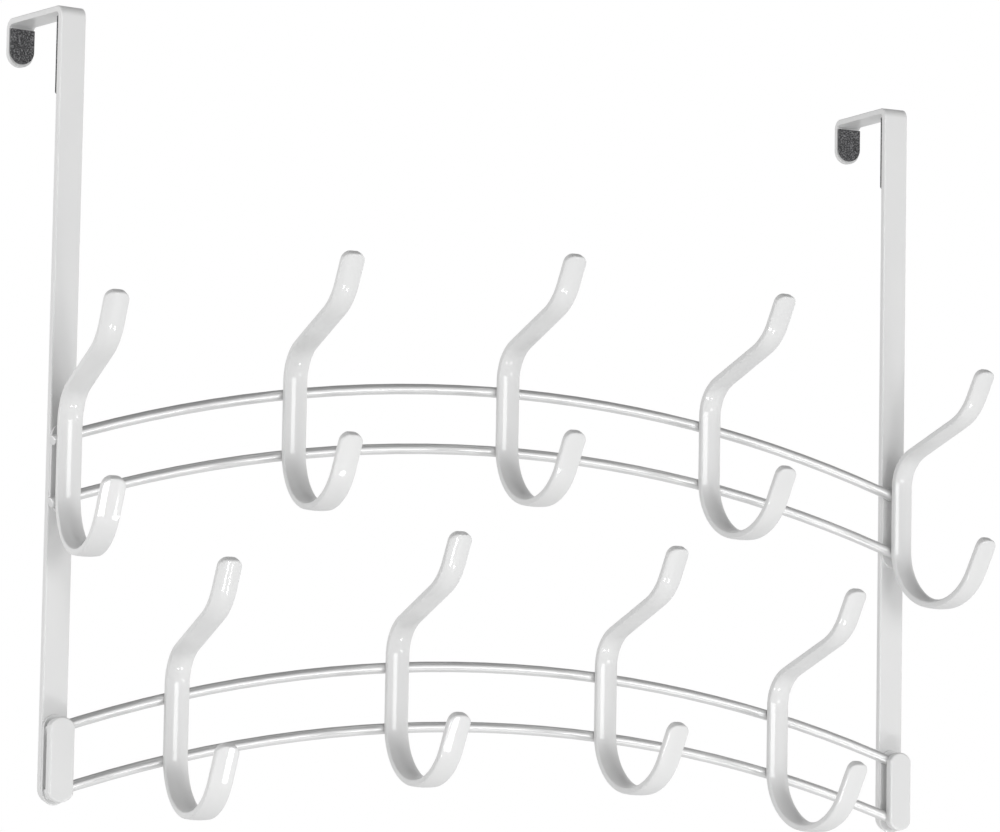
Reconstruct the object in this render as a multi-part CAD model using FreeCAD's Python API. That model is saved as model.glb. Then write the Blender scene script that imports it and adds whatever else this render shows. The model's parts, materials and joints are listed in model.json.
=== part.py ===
"""Over-door hook rack: nine double hooks on two pairs of arched rods, hung from two door brackets."""
import FreeCAD, Part
import math
import os

Vec = FreeCAD.Vector

# The frame: X runs along the door, midway between the brackets is zero.
# Y is zero at the back of the straps, where the door's face is, and the room is at minus Y.
# Z is zero at the underside of the top plates, which rest on the door's top edge.
ALONG = Vec(1, 0, 0)
BACK = Vec(0, 1, 0)
UP = Vec(0, 0, 1)
CENTRE = Vec(0, 0, 0)

# Headings of a path, in degrees, and the share of a radius that a quarter turn's middle reaches
upwards = 0.0
downwards = 180.0
diagonal = math.sqrt(0.5)
flat_tolerance = 1e-4

# Brackets, each one bent flat bar
bracket_spacing = 497.0
bracket_drop = 388.5
strap_width = 14.2
strap_thickness = 3.1
bend_inside_radius = 1.9
door_gap = 48.0
tab_drop = 20.8
strap_end_flat = 0.2
strap_edge_round = 0.8
bracket_toe_out = 4.5

# Foam pads that keep the steel off the door
tab_pad_thickness = 1.8
tab_pad_side_rim = 0.4
tab_pad_bottom_rim = 1.4
strap_pad_thickness = 1.8
strap_pad_length = 40.0
strap_pad_side_rim = 0.1
strap_pad_end_taper = 1.6
pad_bend_clearance = 0.1

# Rods, arched upwards between the brackets, with the lower pair placed from the straps' feet
rod_diameter = 5.4
upper_rod_overhang = 7.2
rod_end_round = 0.6
lower_rod_above_foot = 5.5
rod_pair_spacing = 30.5
tier_spacing = 142.0
upper_arch_rise = 39.3
lower_arch_rise = 39.9
weld_seat = 0.35

# Back plates, between the straps and the rods
back_plate_length = 44.0
back_plate_width = 13.6
back_plate_thickness = 1.3
back_plate_edge_round = 0.35

# End caps, over the ends of the lower pair of rods
cap_length = 41.5
cap_width = 13.4
cap_thickness = 3.8
cap_end_arc = 4.2
cap_edge_round = 1.1
cap_side_cover = 1.4

# Hooks, each one bent bar with a crowned section and rounded tips
hook_width = 12.4
hook_thickness = 5.2
hook_edge_round = 1.0
hook_front_radius = 12.0
hook_back_radius = 40.0
hook_tip_flat = 2.6
hook_straight_top = 21.0
hook_straight_bottom = 12.7
upper_bend_radius = 19.0
upper_bend_turn = 67.0
upper_arm_length = 34.5
upper_lift_radius = 28.0
upper_lift_turn = 39.0
upper_tip_length = 16.5
cradle_radius = 30.4
cradle_lean = 28.3
cradle_tip_length = 19.4
end_hook_turn = 7.0

# Places of the hooks along a tier, as shares of the spacing of the brackets
upper_hook_places = (-0.5, -0.25, 0.0, 0.25, 0.5)
lower_hook_places = (-0.375, -0.125, 0.125, 0.341)

# What follows from the sizes above
half_spacing = bracket_spacing / 2
rod_radius = rod_diameter / 2
lower_rod_overhang = cap_width / 2 - cap_side_cover
lower_tier_drop = bracket_drop - lower_rod_above_foot - rod_pair_spacing
upper_tier_drop = lower_tier_drop - tier_spacing
pad_top = -(bend_inside_radius + pad_bend_clearance)
strap_front = -strap_thickness
tab_back = door_gap + strap_thickness
plate_front = strap_front - back_plate_thickness
rod_centre = plate_front - rod_radius + weld_seat
hook_back = rod_centre - rod_radius + weld_seat
hook_centre = hook_back - hook_thickness / 2
cap_front = hook_back - cap_thickness


def solid_of(shape):
    """One clean solid out of a shape that holds just one."""
    cleaned = shape.removeSplitter()
    if len(cleaned.Solids) != 1:
        raise ValueError("expected one solid, found %d" % len(cleaned.Solids))
    return cleaned.Solids[0]


def save(node, shape):
    """Writes one sub-part under its node's name."""
    solid = solid_of(shape)
    if not solid.isValid():
        raise ValueError("bad solid in " + node)
    solid.exportStep("parts/%s.step" % node)


def arch_radius(rise):
    """Radius of a circular arch between the brackets."""
    return (half_spacing ** 2 + rise ** 2) / (2 * rise)


def arch_rise_at(x, rise):
    """Height of an arch over its chord, at a place along it."""
    radius = arch_radius(rise)
    return math.sqrt(radius ** 2 - x ** 2) - (radius - rise)


def front_edges_rounded(solid, radius, depths):
    """Rounds the edges that lie flat at one of the depths."""
    def lies_flat(edge):
        box = edge.BoundBox
        return any(abs(box.YMin - depth) < flat_tolerance and abs(box.YMax - depth) < flat_tolerance
                   for depth in depths)
    return solid.makeFillet(radius, [edge for edge in solid.Edges if lies_flat(edge)])


# Flat outlines, drawn in the XZ plane and thickened towards the back

def round_ended_outline(width, top, bottom, end_flat):
    """A strip with a flat top and a bottom end rounded by two arcs with a flat between them."""
    half = width / 2
    radius = (width - end_flat) / 2
    reach = radius * diagonal
    left = Vec(-half, 0, bottom + radius)
    right = Vec(half, 0, bottom + radius)
    left_foot = Vec(-half + radius, 0, bottom)
    right_foot = Vec(half - radius, 0, bottom)
    left_middle = Vec(-half + radius - reach, 0, bottom + radius - reach)
    right_middle = Vec(half - radius + reach, 0, bottom + radius - reach)
    return Part.Wire([
        Part.makeLine(Vec(-half, 0, top), left),
        Part.Arc(left, left_middle, left_foot).toShape(),
        Part.makeLine(left_foot, right_foot),
        Part.Arc(right_foot, right_middle, right).toShape(),
        Part.makeLine(right, Vec(half, 0, top)),
        Part.makeLine(Vec(half, 0, top), Vec(-half, 0, top)),
    ])


def bowed_outline(width, length, middle, bow):
    """An upright bar whose two ends bow outwards, each by one arc."""
    half = width / 2
    top = middle + length / 2
    bottom = middle - length / 2
    corners = [Vec(-half, 0, top - bow), Vec(half, 0, top - bow),
               Vec(half, 0, bottom + bow), Vec(-half, 0, bottom + bow)]
    return Part.Wire([
        Part.Arc(corners[0], Vec(0, 0, top), corners[1]).toShape(),
        Part.makeLine(corners[1], corners[2]),
        Part.Arc(corners[2], Vec(0, 0, bottom), corners[3]).toShape(),
        Part.makeLine(corners[3], corners[0]),
    ])


def plate(outline, front, thickness):
    """Thickens a flat outline from its front face towards the back."""
    face = Part.Face(outline)
    face.translate(BACK * front)
    return face.extrude(BACK * thickness)


# Brackets

def bracket_profile():
    """The bar's side view: strap, top plate and tab with two bends."""
    inner = bend_inside_radius
    outer = inner + strap_thickness

    def bend(centre_y, radius, side):
        """A quarter bend's upright end, middle and level end. Side is minus one at the front."""
        centre = Vec(0, centre_y, -inner)
        return (centre + BACK * side * radius,
                centre + (BACK * side + UP) * radius * diagonal,
                centre + UP * radius)

    front_outer = bend(inner, outer, -1)
    rear_outer = bend(door_gap - inner, outer, 1)
    front_inner = bend(inner, inner, -1)
    rear_inner = bend(door_gap - inner, inner, 1)
    foot_front = Vec(0, strap_front, -bracket_drop)
    foot_back = Vec(0, 0, -bracket_drop)
    tab_inside = Vec(0, door_gap, -tab_drop)
    tab_outside = Vec(0, tab_back, -tab_drop)
    return Part.Wire([
        Part.makeLine(foot_front, front_outer[0]),
        Part.Arc(*front_outer).toShape(),
        Part.makeLine(front_outer[2], rear_outer[2]),
        Part.Arc(*reversed(rear_outer)).toShape(),
        Part.makeLine(rear_outer[0], tab_outside),
        Part.makeLine(tab_outside, tab_inside),
        Part.makeLine(tab_inside, rear_inner[0]),
        Part.Arc(*rear_inner).toShape(),
        Part.makeLine(rear_inner[2], front_inner[2]),
        Part.Arc(*reversed(front_inner)).toShape(),
        Part.makeLine(front_inner[0], foot_back),
        Part.makeLine(foot_back, foot_front),
    ])


def bracket(x):
    """One bent bar, with the ends of its two legs rounded."""
    bar = Part.Face(bracket_profile()).extrude(ALONG * strap_width)
    bar.translate(ALONG * (-strap_width / 2))
    above = strap_thickness * 2
    middle = door_gap / 2
    front = strap_front - strap_thickness
    strap_outline = round_ended_outline(strap_width, above, -bracket_drop, strap_end_flat)
    strap_blank = plate(strap_outline, front, middle - front)
    tab_outline = round_ended_outline(strap_width, above, -tab_drop, strap_end_flat)
    tab_blank = plate(tab_outline, middle, tab_back)
    bar = bar.common(strap_blank.fuse(tab_blank)).removeSplitter()
    bar = front_edges_rounded(bar, strap_edge_round, (strap_front, tab_back))
    bar.translate(ALONG * x)
    return bar


def tab_pad(x):
    """The D-shaped foam pad on the inside of a tab."""
    outline = round_ended_outline(strap_width - 2 * tab_pad_side_rim, pad_top,
                                  -tab_drop + tab_pad_bottom_rim, strap_end_flat)
    pad = plate(outline, door_gap - tab_pad_thickness, tab_pad_thickness)
    pad.translate(ALONG * x)
    return pad


def strap_pad(x):
    """The long foam strip on the back of a strap, feathered at its lower end."""
    width = strap_width - 2 * strap_pad_side_rim
    bottom = pad_top - strap_pad_length
    side = Part.makePolygon([
        Vec(0, 0, pad_top),
        Vec(0, strap_pad_thickness, pad_top),
        Vec(0, strap_pad_thickness, bottom + strap_pad_end_taper),
        Vec(0, 0, bottom),
        Vec(0, 0, pad_top),
    ])
    pad = Part.Face(side).extrude(ALONG * width)
    pad.translate(ALONG * (x - width / 2))
    return pad


# Rods

def rod(drop, rise, overhang):
    """A round bar bent to its arch, with its ends eased."""
    radius = arch_radius(rise)
    centre = Vec(0, rod_centre, -drop + rise - radius)
    half_angle = math.degrees(math.asin((half_spacing + overhang) / radius))
    section = Part.Face(Part.Wire([Part.makeCircle(rod_radius, centre + UP * radius, ALONG)]))
    section.rotate(centre, BACK, -half_angle)
    bar = section.revolve(centre, BACK, 2 * half_angle)
    flat_ends = [face for face in bar.Faces if face.Surface.TypeId == "Part::GeomPlane"]
    rims = [edge for face in flat_ends for edge in face.Edges]
    return bar.makeFillet(rod_end_round, rims)


def tier_drops(tier_drop):
    """Drops of the two rods of a tier."""
    return tier_drop, tier_drop + rod_pair_spacing


def tier_middle(tier_drop):
    """Height of the middle between a tier's two rods, at the brackets."""
    return -(tier_drop + rod_pair_spacing / 2)


# Back plates and end caps

def back_plate(x, tier_drop):
    """A thin stadium-shaped plate between a strap and the ends of a pair of rods."""
    outline = bowed_outline(back_plate_width, back_plate_length, tier_middle(tier_drop), back_plate_width / 2)
    body = plate(outline, plate_front, back_plate_thickness)
    body = front_edges_rounded(body, back_plate_edge_round, (plate_front,))
    body.translate(ALONG * x)
    return body


def end_cap(x):
    """A thick bar with bowed ends, over the ends of the lower pair of rods."""
    outline = bowed_outline(cap_width, cap_length, tier_middle(lower_tier_drop), cap_end_arc)
    body = plate(outline, cap_front, cap_thickness)
    body = front_edges_rounded(body, cap_edge_round, (cap_front,))
    body.translate(ALONG * x)
    return body


# Hooks

def long_side(facing, crown_radius, edge_round):
    """The right corner's arc of one long side of the section, its mirror image, and the side's crown."""
    crown_centre = BACK * facing * (hook_thickness / 2 - crown_radius)
    reach = crown_radius - edge_round
    inner_x = hook_width / 2 - edge_round
    corner = crown_centre + Vec(inner_x, facing * math.sqrt(reach ** 2 - inner_x ** 2), 0)
    outward = (corner - crown_centre).normalize()
    between = (outward + ALONG).normalize()
    right = [corner + way * edge_round for way in (ALONG, between, outward)]
    left = [Vec(-point.x, point.y, 0) for point in right]
    return right, left, BACK * facing * hook_thickness / 2


def hook_section():
    """The bar section, across X and Y, crowned in front, nearly flat at the back, with tangent corners."""
    front_right, front_left, front = long_side(-1, hook_front_radius, hook_edge_round)
    back_right, back_left, back = long_side(1, hook_back_radius, hook_edge_round)
    return Part.Wire([
        Part.makeLine(front_right[0], back_right[0]),
        Part.Arc(*back_right).toShape(),
        Part.Arc(back_right[-1], back, back_left[-1]).toShape(),
        Part.Arc(*reversed(back_left)).toShape(),
        Part.makeLine(back_left[0], front_left[0]),
        Part.Arc(*front_left).toShape(),
        Part.Arc(front_left[-1], front, front_right[-1]).toShape(),
        Part.Arc(*reversed(front_right)).toShape(),
    ])


def sharp_hook_section():
    """The same section before its corners are rounded."""
    front_right, front_left, front = long_side(-1, hook_front_radius, 0)
    back_right, back_left, back = long_side(1, hook_back_radius, 0)
    return Part.Wire([
        Part.makeLine(front_right[0], back_right[0]),
        Part.Arc(back_right[0], back, back_left[0]).toShape(),
        Part.makeLine(back_left[0], front_left[0]),
        Part.Arc(front_left[0], front, front_right[0]).toShape(),
    ])


class Bend:
    """A path in the YZ plane, laid out from the point where it starts and the way it heads."""

    def __init__(self, start, heading):
        self.point = start
        self.first_heading = heading
        self.heading = heading
        self.edges = []

    def direction(self):
        """Unit vector of the heading, which swings from upwards towards the room as it grows."""
        angle = math.radians(self.heading)
        return Vec(0, -math.sin(angle), math.cos(angle))

    def run(self, length):
        """Goes straight on."""
        end = self.point + self.direction() * length
        self.edges.append(Part.makeLine(self.point, end))
        self.point = end

    def turn(self, radius, angle):
        """Turns by an angle, towards the room when it is positive."""
        across = self.direction().cross(ALONG) * -math.copysign(1, angle)
        centre = self.point + across * radius
        arm = self.point - centre
        middle = centre + FreeCAD.Rotation(ALONG, angle / 2).multVec(arm)
        end = centre + FreeCAD.Rotation(ALONG, angle).multVec(arm)
        self.edges.append(Part.Arc(self.point, middle, end).toShape())
        self.point = end
        self.heading += angle


def hook_paths():
    """The hook's centre line: its straight, then its cradle and its upper arm up to their tips."""
    foot = UP * -hook_straight_bottom
    head = UP * hook_straight_top
    cradle = Bend(foot, downwards)
    cradle.turn(cradle_radius, cradle_lean - downwards)
    cradle.run(cradle_tip_length - hook_width / 2)
    arm = Bend(head, upwards)
    arm.turn(upper_bend_radius, upper_bend_turn)
    arm.run(upper_arm_length)
    arm.turn(upper_lift_radius, -upper_lift_turn)
    arm.run(upper_tip_length - hook_width / 2)
    return Part.makeLine(foot, head), cradle, arm


def hook_tip():
    """The last of the bar, downwards from its start, with rounded corners and eased like its sides."""
    length = hook_width / 2
    bar = Part.Face(sharp_hook_section()).extrude(UP * -length)
    outline = round_ended_outline(hook_width, length, -length, hook_tip_flat)
    tip = bar.common(plate(outline, -hook_thickness, 2 * hook_thickness)).removeSplitter()

    def is_rim(edge):
        """True for the edges round a long side, and not for those of the joint or through the bar."""
        box = edge.BoundBox
        crosses = box.YLength > max(box.XLength, box.ZLength)
        return box.ZMin < -flat_tolerance and not crosses

    return tip.makeFillet(hook_edge_round, [edge for edge in tip.Edges if is_rim(edge)])


def hook_blank():
    """One hook about its own centre line, before it is set on its rods."""
    straight, cradle, arm = hook_paths()
    section = hook_section()
    pieces = []
    for edges in ([straight], cradle.edges, arm.edges):
        path = Part.Wire(edges)
        placed = section.copy()
        placed.translate(path.OrderedVertexes[0].Point)
        pieces.append(path.makePipeShell([placed], True, False))
    for bend in (cradle, arm):
        turned_up = FreeCAD.Rotation(BACK, downwards - bend.first_heading)
        bent = FreeCAD.Rotation(ALONG, bend.heading - bend.first_heading)
        tip = hook_tip()
        tip.Placement = FreeCAD.Placement(bend.point, bent * turned_up)
        pieces.append(tip)
    return pieces[0].multiFuse(pieces[1:]).removeSplitter()


def hook(blank, share, tier_drop, rise):
    """A hook at its place along a tier, turned outwards."""
    x = share * bracket_spacing
    body = blank.copy()
    body.rotate(CENTRE, UP, end_hook_turn * share * 2)
    body.translate(Vec(x, hook_centre, tier_middle(tier_drop) + arch_rise_at(x, rise)))
    return body


# The whole rack

def toed_out(shape, x):
    """Turns a bracket, or a piece that lies flat on it, about the middle of its strap's back."""
    shape.rotate(ALONG * x, UP, -math.copysign(bracket_toe_out, x))
    return shape


def seated(shape, rods):
    """Cuts the rods' shallow weld seats into a piece."""
    for bar in rods:
        shape = shape.cut(bar)
    return shape


def build():
    """Makes every sub-part."""
    os.makedirs("parts", exist_ok=True)
    sides = {"left": -half_spacing, "right": half_spacing}
    tiers = {"upper": (upper_tier_drop, upper_arch_rise, upper_rod_overhang, upper_hook_places),
             "lower": (lower_tier_drop, lower_arch_rise, lower_rod_overhang, lower_hook_places)}
    blank = hook_blank()
    for side, x in sides.items():
        save(side + "_bracket", toed_out(bracket(x), x))
        save(side + "_tab_pad", toed_out(tab_pad(x), x))
        save(side + "_strap_pad", toed_out(strap_pad(x), x))
    for tier, (tier_drop, rise, overhang, places) in tiers.items():
        rods = [rod(drop, rise, overhang) for drop in tier_drops(tier_drop)]
        for place, bar in zip(("top", "bottom"), rods):
            save("%s_tier_%s_rod" % (tier, place), bar)
        for side, x in sides.items():
            save("%s_%s_back_plate" % (side, tier), seated(toed_out(back_plate(x, tier_drop), x), rods))
            if tier == "lower":
                save(side + "_end_cap", seated(end_cap(x), rods))
        for number, share in enumerate(places, 1):
            save("%s_hook_%d" % (tier, number), seated(hook(blank, share, tier_drop, rise), rods))


build()
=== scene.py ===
"""Over-door hook rack: its paint, its foam pads and a plain bright studio."""
import json
import math
from collections import namedtuple

import bmesh
import bpy
from bpy.props import FloatProperty, FloatVectorProperty, PointerProperty
from mathutils import Matrix, Vector


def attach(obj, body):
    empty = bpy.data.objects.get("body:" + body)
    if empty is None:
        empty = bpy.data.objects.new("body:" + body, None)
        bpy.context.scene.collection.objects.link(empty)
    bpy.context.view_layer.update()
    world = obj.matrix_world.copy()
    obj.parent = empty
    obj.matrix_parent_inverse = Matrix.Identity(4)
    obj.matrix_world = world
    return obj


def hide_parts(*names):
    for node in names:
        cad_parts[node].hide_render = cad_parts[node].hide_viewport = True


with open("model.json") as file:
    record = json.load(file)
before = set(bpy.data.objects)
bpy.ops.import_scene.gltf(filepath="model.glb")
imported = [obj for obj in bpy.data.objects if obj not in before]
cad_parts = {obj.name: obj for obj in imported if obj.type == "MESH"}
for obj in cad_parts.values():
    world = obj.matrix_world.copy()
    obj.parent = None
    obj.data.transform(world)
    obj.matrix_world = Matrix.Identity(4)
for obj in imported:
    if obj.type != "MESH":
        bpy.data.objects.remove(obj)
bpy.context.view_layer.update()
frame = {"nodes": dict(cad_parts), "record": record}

bl_info = {
    "name": "Over-Door Hook Rack",
    "version": (1, 0, 0),
    "blender": (4, 5, 0),
    "location": "View3D > Sidebar > Hook Rack",
    "description": "Finishes a door-hung hook rack and sets it in a plain studio",
    "category": "Object",
}

BODY = "root"
SIDES = ("left", "right")
PAD_KINDS = ("tab_pad", "strap_pad")
WHITE = (1, 1, 1, 1)

# Foam: how many grains and clouds go to a pore's width, how strongly each shows (the flecks, the painted
# shade in the open cells and the grain's relief), and where the ramps turn
GRAINS_PER_PORE = 1.3
CLOUDS_PER_PORE = 0.25
PORE_STOPS = ((0.12, 1), (0.42, 0))
FLECK_STOPS = ((0.46, 0), (0.7, 1))
FLECK_SHARE = 0.85
PORE_SHADE_SHARE = 0.3
PORE_SHADE_DRIFT = 0.8
GRAIN_HEIGHT = 0.4

# Foam pads: how close points are joined, and which edges count as flat or crisp
JOIN_DISTANCE = 0.00001
FLAT_ANGLE = math.radians(0.5)
CRISP_ANGLE = math.radians(40)
ROUNDING_STEPS = 3
MOST_CORNERS_ON_ROUNDING = 4

# Studio: the picture's width in pixels, how far the camera sees, and the floor's half width and own light
PICTURE_WIDTH = 1000
SIGHT = 100
FLOOR_REACH = 12
FLOOR_SEEN_GLOW = 0.65

# Light from all around: the spans of a direction's Y or Z over which it changes
FRONT_TO_BACK = (-0.9, 0.2)
LEVEL_TO_HIGH = (0.26, 0.62)
ROOM_TO_DOOR = (-0.1, 0.4)

# Lamps, placed from the rack's middle: degrees to the right of straight on, degrees up, metres away, width
# and height in metres, and the setting that holds the power
Lamp = namedtuple("Lamp", "name azimuth elevation distance size power")
LAMPS = (
    Lamp("strip_lamp", azimuth=1, elevation=4, distance=5.5, size=(1.9, 2.0), power="strip_power"),
    Lamp("side_lamp", azimuth=-98, elevation=5, distance=2.0, size=(1.0, 2.2), power="side_power"),
    Lamp("low_lamp", azimuth=31, elevation=-14, distance=2.2, size=(0.55, 0.3), power="low_power"),
    Lamp("left_spark_lamp", azimuth=-4, elevation=-50, distance=2.2, size=(0.24, 0.2), power="spark_power"),
    Lamp("right_spark_lamp", azimuth=27, elevation=-50, distance=2.2, size=(0.24, 0.2), power="spark_power"),
)


# Settings

class PaintSettings(bpy.types.PropertyGroup):
    """The glossy pearl paint on every steel piece but the rods."""

    colour: FloatVectorProperty(name="Paint", description="Colour of the paint", subtype="COLOR",
                                default=(0.76, 0.76, 0.755), min=0, max=1)
    cloud_colour: FloatVectorProperty(name="Paint cloud", description="Colour that the paint drifts towards",
                                      subtype="COLOR", default=(0.725, 0.728, 0.73), min=0, max=1)
    cloud_size: FloatProperty(name="Cloud size", description="Size of the slow drift in the colour",
                              default=0.03, min=0.001, unit="LENGTH")
    peel_size: FloatProperty(name="Peel size", description="Size of the ripples in the sprayed coat",
                             default=0.0016, min=0.0001, unit="LENGTH")
    peel_depth: FloatProperty(name="Peel depth", description="Height of the ripples in the sprayed coat",
                              default=0.0000025, min=0, unit="LENGTH", precision=6)
    roughness: FloatProperty(name="Roughness", description="Roughness of the paint under its gloss",
                             default=0.34, min=0, max=1)
    roughness_drift: FloatProperty(name="Roughness drift", description="How far that roughness drifts",
                                   default=0.05, min=0, max=1)
    reflection: FloatProperty(name="Reflection", description="What the paint reflects under its gloss",
                              default=0.3, min=0, max=1)
    gloss: FloatProperty(name="Gloss", description="Strength of the clear gloss on top",
                         default=0.9, min=0, max=1)
    gloss_blur: FloatProperty(name="Gloss blur", description="Roughness of the clear gloss on top",
                              default=0.045, min=0, max=1)


class RodSettings(bpy.types.PropertyGroup):
    """The metallic paint on the rods."""

    colour: FloatVectorProperty(name="Rod paint", description="Colour of the rods", subtype="COLOR",
                                default=(0.75, 0.75, 0.745), min=0, max=1)
    cloud_colour: FloatVectorProperty(name="Rod cloud", description="Colour that the rods drift towards",
                                      subtype="COLOR", default=(0.71, 0.712, 0.715), min=0, max=1)
    metal: FloatProperty(name="Metal", description="Share of metal flake in the paint",
                         default=0.5, min=0, max=1)
    roughness: FloatProperty(name="Rod roughness", description="Roughness of the rods",
                             default=0.3, min=0, max=1)
    roughness_drift: FloatProperty(name="Rod roughness drift", description="How far that roughness drifts",
                                   default=0.04, min=0, max=1)
    gloss: FloatProperty(name="Rod gloss", description="Strength of the clear gloss on the rods",
                         default=0.4, min=0, max=1)
    gloss_blur: FloatProperty(name="Rod gloss blur", description="Roughness of the clear gloss on the rods",
                              default=0.12, min=0, max=1)


class FoamSettings(bpy.types.PropertyGroup):
    """The dark foam pads."""

    colour: FloatVectorProperty(name="Foam", description="Colour of the foam's skin", subtype="COLOR",
                                default=(0.066, 0.066, 0.068), min=0, max=1)
    fleck_colour: FloatVectorProperty(name="Fleck", description="Colour of the pale flecks", subtype="COLOR",
                                      default=(0.34, 0.34, 0.35), min=0, max=1)
    # Painted shade: the dark colour put inside the open cells stands in for the shade that falls in them
    pore_shade_colour: FloatVectorProperty(name="Pore", description="Colour inside the open cells", subtype="COLOR",
                                     default=(0.012, 0.012, 0.013), min=0, max=1)
    pore_size: FloatProperty(name="Pore size", description="Size of an open cell",
                             default=0.001, min=0.0001, unit="LENGTH")
    pore_depth: FloatProperty(name="Pore depth", description="Depth of an open cell",
                              default=0.00012, min=0, unit="LENGTH", precision=6)
    roughness: FloatProperty(name="Foam roughness", description="Roughness of the foam",
                             default=0.92, min=0, max=1)
    reflection: FloatProperty(name="Foam reflection", description="What the foam reflects",
                              default=0.25, min=0, max=1)
    edge_round: FloatProperty(name="Edge round", description="Rounding of a pad's edges",
                              default=0.0004, min=0.0001, unit="LENGTH", precision=5)


class StudioSettings(bpy.types.PropertyGroup):
    """The camera, the floor and the lamps."""

    azimuth: FloatProperty(name="Azimuth", description="Camera's turn to the left of straight on",
                           default=math.radians(31.0), subtype="ANGLE")
    rise: FloatProperty(name="Rise", description="How far the camera looks up",
                        default=math.radians(6.08), subtype="ANGLE")
    roll: FloatProperty(name="Roll", description="How far the camera leans",
                        default=math.radians(1.03), subtype="ANGLE")
    distance: FloatProperty(name="Distance", description="Camera to the rack's middle",
                            default=2.552, min=0.1, unit="LENGTH")
    focal_pixels: FloatProperty(name="Focal length", description="In widths of a pixel of the picture",
                                default=4957.0, min=100)
    target: FloatVectorProperty(name="Target", description="The rack's middle, where the camera looks",
                                subtype="XYZ", unit="LENGTH", default=(0.0023, 0.0, -0.1823), precision=4)
    floor_drop: FloatProperty(name="Floor drop", description="Floor under the door's top edge",
                              default=2.03, min=0.5, unit="LENGTH")
    floor_colour: FloatVectorProperty(name="Floor", description="Colour of the floor", subtype="COLOR",
                                      default=(0.86, 0.86, 0.86), min=0, max=1)
    floor_glow: FloatProperty(name="Floor glow", description="Share of its own light, as on a light table",
                              default=0.30, min=0, max=1)
    front_light: FloatProperty(name="Front light", description="Light from around on the room's side",
                               default=1.04, min=0)
    back_light: FloatProperty(name="Back light", description="Light from around on the door's side",
                              default=0.6, min=0)
    high_light: FloatProperty(name="High light", description="Light from overhead on the room's side",
                              default=0.03, min=0)
    high_gleam: FloatProperty(name="High gleam", description="What gloss shows of overhead",
                              default=0.08, min=0)
    strip_power: FloatProperty(name="Strip lamp", description="Power of the large lamp in front",
                               default=62.0, min=0, unit="POWER")
    side_power: FloatProperty(name="Side lamp", description="Power of the tall lamp at the left",
                              default=13.0, min=0, unit="POWER")
    low_power: FloatProperty(name="Low lamp", description="Power of the low lamp at the right",
                             default=2.8, min=0, unit="POWER")
    spark_power: FloatProperty(name="Spark lamps", description="Power of each of the two small lamps below",
                               default=4.5, min=0, unit="POWER")


# Shader maths

class Tree:
    """A material's or world's node tree, with one way to add a node."""

    def __init__(self, owner):
        owner.use_nodes = True
        self.tree = owner.node_tree
        self.tree.nodes.clear()

    def node(self, kind, settings=None, output=0, **sockets):
        """Adds a node, sets it up, then gives its sockets their values or links."""
        added = self.tree.nodes.new(kind)
        for name, value in (settings or {}).items():
            if name == "stops":
                self.set_stops(added.color_ramp, value)
            else:
                setattr(added, name, value)
        for name, value in sockets.items():
            self.feed(added, name, value)
        return Wire(self, added.outputs[output], added) if added.outputs else added

    def feed(self, added, name, value):
        """Links a socket or sets its value, by its name or, as in0, by its number."""
        key = int(name[2:]) if name.startswith("in") and name[2:].isdigit() else name.replace("_", " ")
        socket = added.inputs[key]
        if isinstance(value, Wire):
            self.tree.links.new(value.socket, socket)
        else:
            socket.default_value = value

    def set_stops(self, ramp, stops):
        """Places a ramp's stops."""
        while len(ramp.elements) > 1:
            ramp.elements.remove(ramp.elements[-1])
        for index, (place, value) in enumerate(stops):
            stop = ramp.elements[0] if index == 0 else ramp.elements.new(place)
            stop.position = place
            stop.color = (value, value, value, 1)

    def mix(self, share, first, second):
        """Blends two colours."""
        return self.node("ShaderNodeMix", {"data_type": "RGBA"}, output=2, in0=share, in6=first, in7=second)

    def ease(self, value, span, ends):
        """Goes smoothly from one end to the other while a value crosses a span."""
        return self.node("ShaderNodeMapRange", {"interpolation_type": "SMOOTHSTEP"}, Value=value,
                         From_Min=span[0], From_Max=span[1], To_Min=ends[0], To_Max=ends[1])

    def place(self):
        """A point's place in the object's own frame."""
        return self.node("ShaderNodeTexCoord").out("Object")


class Wire:
    """A node's output, on which Python's arithmetic adds Math nodes."""

    def __init__(self, tree, socket, owner):
        self.tree = tree
        self.socket = socket
        self.owner = owner

    def math(self, operation, other, swapped=False):
        """One Math node on this output and another value."""
        first, second = (other, self) if swapped else (self, other)
        return self.tree.node("ShaderNodeMath", {"operation": operation}, in0=first, in1=second)

    def __add__(self, other):
        return self.math("ADD", other)

    __radd__ = __add__

    def __mul__(self, other):
        return self.math("MULTIPLY", other)

    __rmul__ = __mul__

    def __sub__(self, other):
        return self.math("SUBTRACT", other)

    def __rsub__(self, other):
        return self.math("SUBTRACT", other, swapped=True)

    def out(self, name):
        """Another output of the same node."""
        return Wire(self.tree, self.owner.outputs[name], self.owner)

    def clamped(self):
        """The value held between nought and one."""
        return self.tree.node("ShaderNodeClamp", Value=self)

    def at_least(self, other):
        """The larger of this and another value."""
        return self.math("MAXIMUM", other)


def rgba(colour):
    """A colour with full opacity."""
    return (*colour, 1)


def fresh_material(name):
    """An empty material of that name and its tree."""
    material = bpy.data.materials.get(name) or bpy.data.materials.new(name)
    return material, Tree(material)


def drifting_paint(tree, place, coat, cloud_size):
    """The colour and roughness of a paint, which drift together around their settings."""
    cloud = tree.node("ShaderNodeTexNoise", Vector=place, Scale=1 / cloud_size, Detail=3.0, Roughness=0.5)
    colour = tree.mix(cloud, rgba(coat.colour), rgba(coat.cloud_colour))
    roughness = cloud * coat.roughness_drift + (coat.roughness - coat.roughness_drift / 2)
    return colour, roughness


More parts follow.
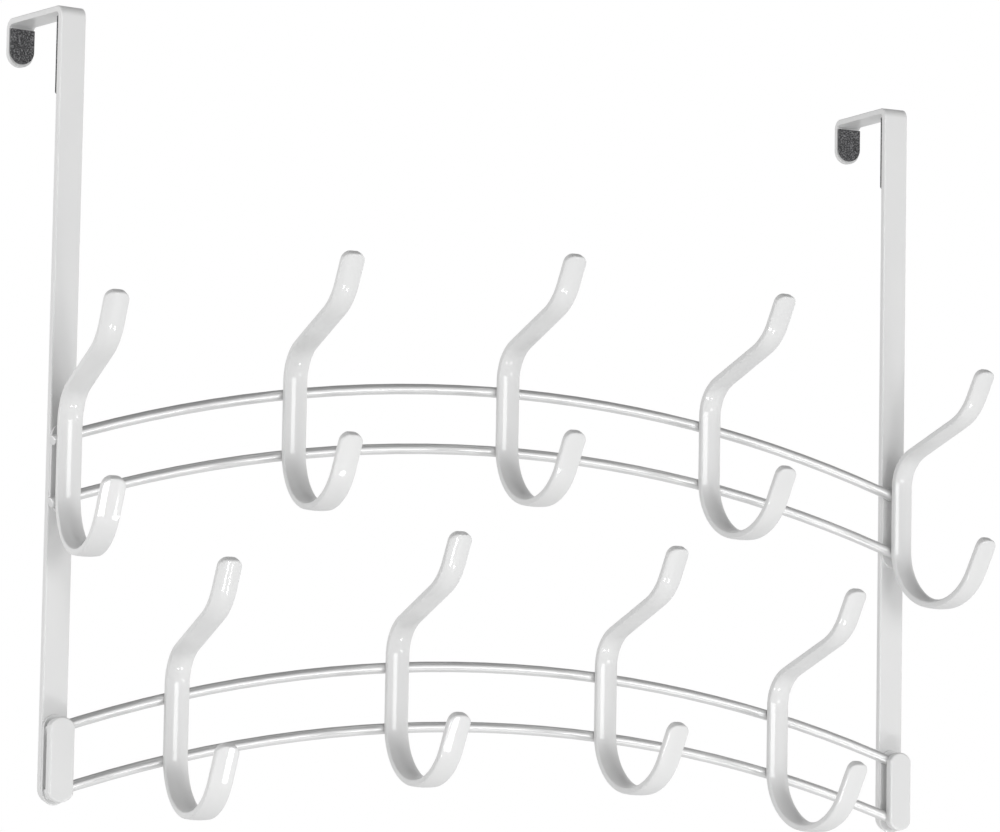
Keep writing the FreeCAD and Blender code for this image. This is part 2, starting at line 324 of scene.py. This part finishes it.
def paint_material(paint):
    """Glossy pearl paint with a faint ripple, its gloss fading where it turns away from the eye."""
    material, tree = fresh_material("pearl_paint")
    place = tree.place()
    colour, roughness = drifting_paint(tree, place, paint, paint.cloud_size)
    peel = tree.node("ShaderNodeTexNoise", Vector=place, Scale=1 / paint.peel_size, Detail=2.0,
                     Roughness=0.4)
    ripple = tree.node("ShaderNodeBump", Height=peel, Strength=1.0, Distance=paint.peel_depth)
    turned_away = tree.node("ShaderNodeLayerWeight", Blend=0.5).out("Facing")
    surface = tree.node("ShaderNodeBsdfPrincipled", Base_Color=colour, Roughness=roughness, Normal=ripple,
                        Coat_Weight=paint.gloss - turned_away * paint.gloss,
                        Coat_Roughness=paint.gloss_blur, Specular_IOR_Level=paint.reflection)
    tree.node("ShaderNodeOutputMaterial", Surface=surface)
    return material


def rod_material(rods, paint):
    """Paint with metal flake in it, which shows more of the studio."""
    material, tree = fresh_material("rod_paint")
    colour, roughness = drifting_paint(tree, tree.place(), rods, paint.cloud_size)
    surface = tree.node("ShaderNodeBsdfPrincipled", Base_Color=colour, Roughness=roughness,
                        Metallic=rods.metal, Coat_Weight=rods.gloss, Coat_Roughness=rods.gloss_blur)
    tree.node("ShaderNodeOutputMaterial", Surface=surface)
    return material


def foam_material(foam):
    """Closed dark foam, speckled with pale flecks, its open cells darkened with painted shade."""
    material, tree = fresh_material("dark_foam")
    place = tree.place()
    cell = tree.node("ShaderNodeTexVoronoi", {"feature": "F1"}, Vector=place, Scale=1 / foam.pore_size)
    grain = tree.node("ShaderNodeTexNoise", Vector=place, Scale=GRAINS_PER_PORE / foam.pore_size, Detail=2.0)
    cloud = tree.node("ShaderNodeTexNoise", Vector=place, Scale=CLOUDS_PER_PORE / foam.pore_size, Detail=2.0)
    pore = tree.node("ShaderNodeValToRGB", {"stops": PORE_STOPS}, Fac=cell)
    fleck = tree.node("ShaderNodeValToRGB", {"stops": FLECK_STOPS}, Fac=grain)
    skin = tree.mix(fleck * FLECK_SHARE, rgba(foam.colour), rgba(foam.fleck_colour))
    # Painted shade: the open cells are darkened towards the pore colour in place of the shade inside them
    pore_shade_share = (cloud * PORE_SHADE_DRIFT + PORE_SHADE_SHARE).clamped()
    colour = tree.mix(pore * pore_shade_share, skin, rgba(foam.pore_shade_colour))
    rough_skin = tree.node("ShaderNodeBump", Height=grain * GRAIN_HEIGHT - pore, Strength=1.0,
                           Distance=foam.pore_depth)
    surface = tree.node("ShaderNodeBsdfPrincipled", Base_Color=colour, Roughness=foam.roughness,
                        Normal=rough_skin, Specular_IOR_Level=foam.reflection)
    tree.node("ShaderNodeOutputMaterial", Surface=surface)
    return material


# Foam pads

def in_scene(name, data):
    """A new object of that name, in the scene."""
    added = bpy.data.objects.new(name, data)
    bpy.context.scene.collection.objects.link(added)
    return added


def finished(name, shape):
    """A new object of that name from a bmesh, which is freed."""
    mesh = bpy.data.meshes.new(name)
    shape.to_mesh(mesh)
    shape.free()
    return in_scene(name, mesh)


def edges_between(shape, least, most):
    """The edges whose two faces meet at an angle in that range."""
    return [edge for edge in shape.edges
            if len(edge.link_faces) == 2 and least <= edge.calc_face_angle() <= most]


def copy_merged(node):
    """A fresh bmesh of a CAD node, with its loose triangles joined into whole faces."""
    shape = bmesh.new()
    shape.from_mesh(frame["nodes"][node].data)
    bmesh.ops.remove_doubles(shape, verts=shape.verts, dist=JOIN_DISTANCE)
    bmesh.ops.dissolve_edges(shape, edges=edges_between(shape, 0, FLAT_ANGLE), use_verts=True)
    return shape


def soft_pad(node, foam):
    """The pad's own outline with soft rounded edges, cut from foam."""
    shape = copy_merged(node)
    bmesh.ops.bevel(shape, geom=edges_between(shape, CRISP_ANGLE, math.pi), offset=foam.edge_round,
                    segments=ROUNDING_STEPS, profile=0.5, affect="EDGES", material=-1)
    bmesh.ops.recalc_face_normals(shape, faces=shape.faces)
    for face in shape.faces:
        face.smooth = len(face.verts) <= MOST_CORNERS_ON_ROUNDING
    return finished(node + "_foam", shape)


# Stage

def set_lamp(plan, power, middle):
    """A soft rectangular lamp, turned to the rack's middle."""
    data = bpy.data.lights.new(plan.name, "AREA")
    data.shape = "RECTANGLE"
    data.size, data.size_y = plan.size
    data.energy = power
    azimuth, elevation = math.radians(plan.azimuth), math.radians(plan.elevation)
    away = Vector((math.sin(azimuth) * math.cos(elevation), -math.cos(azimuth) * math.cos(elevation),
                   math.sin(elevation)))
    lit = in_scene(plan.name, data)
    lit.location = middle + away * plan.distance
    lit.rotation_euler = away.to_track_quat("Z", "Y").to_euler()


def camera(studio, middle):
    """The camera, turned, raised, leaned and zoomed as in the photograph."""
    data = bpy.data.cameras.new("camera")
    data.sensor_fit = "HORIZONTAL"
    data.lens = studio.focal_pixels / PICTURE_WIDTH * data.sensor_width
    data.clip_end = SIGHT
    level = math.cos(studio.rise)
    ahead = Vector((math.sin(studio.azimuth) * level, math.cos(studio.azimuth) * level,
                    math.sin(studio.rise)))
    right = Vector((math.cos(studio.azimuth), -math.sin(studio.azimuth), 0))
    upright = right.cross(ahead)
    leaned_right = math.cos(studio.roll) * right + math.sin(studio.roll) * upright
    leaned_up = math.cos(studio.roll) * upright - math.sin(studio.roll) * right
    turned = Matrix((leaned_right, leaned_up, -ahead)).transposed().to_4x4()
    seen_by = in_scene("camera", data)
    seen_by.matrix_world = Matrix.Translation(middle - ahead * studio.distance) @ turned
    bpy.context.scene.camera = seen_by


def seen_directly(tree):
    """One for the rays that see a background: the camera's and those of gloss and glass."""
    path = tree.node("ShaderNodeLightPath")
    outside = path.out("Is Camera Ray").at_least(path.out("Is Glossy Ray"))
    return outside.at_least(path.out("Is Transmission Ray"))


def floor(studio):
    """A plain pale floor, a door's height below the rack."""
    shape = bmesh.new()
    bmesh.ops.create_grid(shape, x_segments=1, y_segments=1, size=FLOOR_REACH)
    bmesh.ops.translate(shape, verts=shape.verts, vec=(0, 0, -studio.floor_drop))
    ground = finished("floor", shape)
    material, tree = fresh_material("floor_paint")
    matt = tree.node("ShaderNodeBsdfDiffuse", Color=rgba(studio.floor_colour))
    glow = tree.node("ShaderNodeEmission", Color=WHITE, Strength=1.0)
    share = seen_directly(tree) * (FLOOR_SEEN_GLOW - studio.floor_glow) + studio.floor_glow
    surface = tree.node("ShaderNodeMixShader", in0=share, in1=matt, in2=glow)
    tree.node("ShaderNodeOutputMaterial", Surface=surface)
    ground.data.materials.append(material)


def room(studio):
    """Light from all around, dim overhead on the room's side, on a plain white background."""
    world = bpy.data.worlds.new("room")
    bpy.context.scene.world = world
    tree = Tree(world)
    heading = tree.node("ShaderNodeTexCoord").out("Generated")
    parts = tree.node("ShaderNodeSeparateXYZ", Vector=heading)
    doorward, height = parts.out("Y"), parts.out("Z")
    around = tree.ease(doorward, FRONT_TO_BACK, (studio.front_light, studio.back_light))
    overhead = tree.ease(height, LEVEL_TO_HIGH, (0, 1))
    roomward = tree.ease(doorward, ROOM_TO_DOOR, (1, 0))
    dim = overhead * roomward
    given = (1 - dim) * around + dim * studio.high_light
    shown = 1 - overhead * (1 - studio.high_gleam)
    seen = seen_directly(tree)
    light = tree.node("ShaderNodeBackground", Color=WHITE, Strength=seen * shown + (1 - seen) * given)
    tree.node("ShaderNodeOutputWorld", Surface=light)


# Operators

class RACK_OT_paint(bpy.types.Operator):
    """Paint the brackets, plates, caps, rods and hooks"""

    bl_idname = "rack.paint"
    bl_label = "Paint the steel"

    def execute(self, context):
        paint = context.scene.rack_paint
        plain = paint_material(paint)
        flaked = rod_material(context.scene.rack_rods, paint)
        for part in frame["record"]["subparts"]:
            if part["material_slot"] == "painted_steel":
                mesh = frame["nodes"][part["node"]].data
                mesh.materials.clear()
                mesh.materials.append(flaked if part["node"].endswith("_rod") else plain)
        return {"FINISHED"}


class RACK_OT_pads(bpy.types.Operator):
    """Cut the foam pads of the straps and tabs"""

    bl_idname = "rack.pads"
    bl_label = "Cut the foam pads"

    def execute(self, context):
        foam = context.scene.rack_foam
        material = foam_material(foam)
        for side in SIDES:
            for kind in PAD_KINDS:
                node = "%s_%s" % (side, kind)
                pad = soft_pad(node, foam)
                pad.data.materials.append(material)
                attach(pad, BODY)
                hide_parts(node)
        return {"FINISHED"}


class RACK_OT_studio(bpy.types.Operator):
    """Set up the floor, the light, the camera and the lamps"""

    bl_idname = "rack.studio"
    bl_label = "Set up the studio"

    def execute(self, context):
        studio = context.scene.rack_studio
        middle = Vector(studio.target)
        floor(studio)
        room(studio)
        camera(studio, middle)
        for plan in LAMPS:
            set_lamp(plan, getattr(studio, plan.power), middle)
        context.scene.view_settings.view_transform = "Standard"
        return {"FINISHED"}


class RACK_PT_sidebar(bpy.types.Panel):
    """Sizes, colours and steps of the rack"""

    bl_idname = "RACK_PT_sidebar"
    bl_label = "Hook Rack"
    bl_space_type = "VIEW_3D"
    bl_region_type = "UI"
    bl_category = "Hook Rack"

    def draw(self, context):
        for operator, groups in STEPS:
            box = self.layout.box()
            for group in groups:
                settings = getattr(context.scene, group)
                for name in settings.bl_rna.properties.keys():
                    if name not in ("rna_type", "name"):
                        box.prop(settings, name)
            box.operator(operator.bl_idname)


GROUPS = {"rack_paint": PaintSettings, "rack_rods": RodSettings, "rack_foam": FoamSettings,
          "rack_studio": StudioSettings}
STEPS = ((RACK_OT_paint, ("rack_paint", "rack_rods")), (RACK_OT_pads, ("rack_foam",)),
         (RACK_OT_studio, ("rack_studio",)))
CLASSES = (*GROUPS.values(), *(operator for operator, groups in STEPS), RACK_PT_sidebar)


def register():
    """Adds the rack's settings, steps and panel."""
    for cls in CLASSES:
        bpy.utils.register_class(cls)
    for name, group in GROUPS.items():
        setattr(bpy.types.Scene, name, PointerProperty(type=group))


def unregister():
    """Takes them away again."""
    for name in GROUPS:
        delattr(bpy.types.Scene, name)
    for cls in reversed(CLASSES):
        bpy.utils.unregister_class(cls)


def main():
    """Runs every step."""
    register()
    bpy.ops.rack.paint()
    bpy.ops.rack.pads()
    bpy.ops.rack.studio()


if __name__ == "__main__":
    main()
